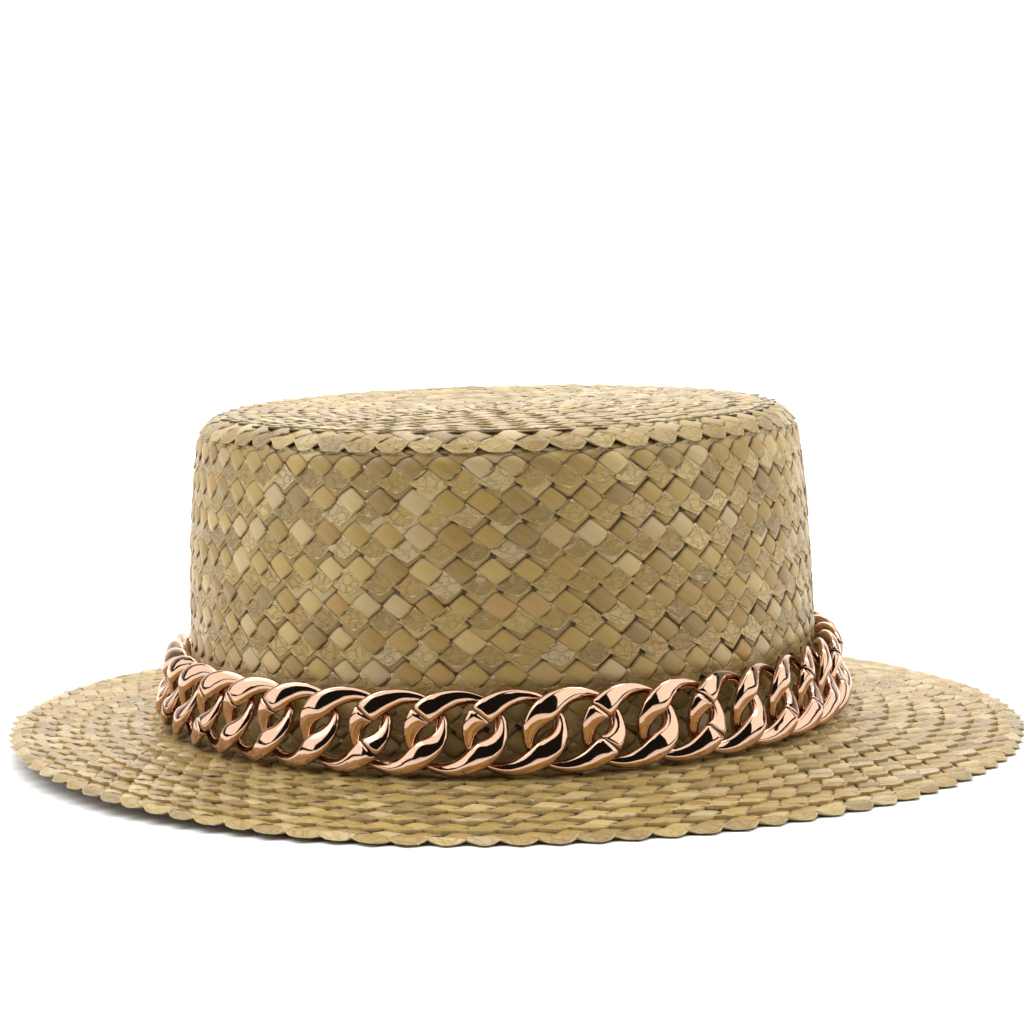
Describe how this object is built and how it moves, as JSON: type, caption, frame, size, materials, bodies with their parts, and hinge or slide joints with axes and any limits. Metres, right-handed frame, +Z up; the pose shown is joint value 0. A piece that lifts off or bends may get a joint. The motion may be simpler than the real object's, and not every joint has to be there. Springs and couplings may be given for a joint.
{
  "type": "straw boater hat",
  "caption": "Straw boater: flat-topped oval crown and nearly flat oval brim of overlapping sewn braid, with a curb chain lying round the foot of the crown.",
  "frame": {"origin": "under the middle of the brim, on the surface the hat rests on", "axes": "+Z up, the front of the hat towards -Y, +X to the right as seen from the front"},
  "size_m": [0.282, 0.303, 0.092],
  "materials": {
    "straw_braid": "satin wheat straw",
    "rose_gold": "mirror-polished rose-gold plating"
  },
  "bodies": {
    "root": {"crown_tip": "straw_braid", "crown_side": "straw_braid", "brim": "straw_braid", "link_01": "rose_gold", "link_02": "rose_gold", "link_03": "rose_gold", "link_04": "rose_gold", "link_05": "rose_gold", "link_06": "rose_gold", "link_07": "rose_gold", "link_08": "rose_gold", "link_09": "rose_gold", "link_10": "rose_gold", "link_11": "rose_gold", "link_12": "rose_gold", "link_13": "rose_gold", "link_14": "rose_gold", "link_15": "rose_gold", "link_16": "rose_gold", "link_17": "rose_gold", "link_18": "rose_gold", "link_19": "rose_gold", "link_20": "rose_gold", "link_21": "rose_gold", "link_22": "rose_gold", "link_23": "rose_gold", "link_24": "rose_gold", "link_25": "rose_gold", "link_26": "rose_gold", "link_27": "rose_gold", "link_28": "rose_gold", "link_29": "rose_gold", "link_30": "rose_gold", "link_31": "rose_gold", "link_32": "rose_gold", "link_33": "rose_gold", "link_34": "rose_gold", "link_35": "rose_gold", "link_36": "rose_gold", "link_37": "rose_gold", "link_38": "rose_gold", "link_39": "rose_gold", "link_40": "rose_gold", "link_41": "rose_gold", "link_42": "rose_gold"}
  },
  "joints": []
}
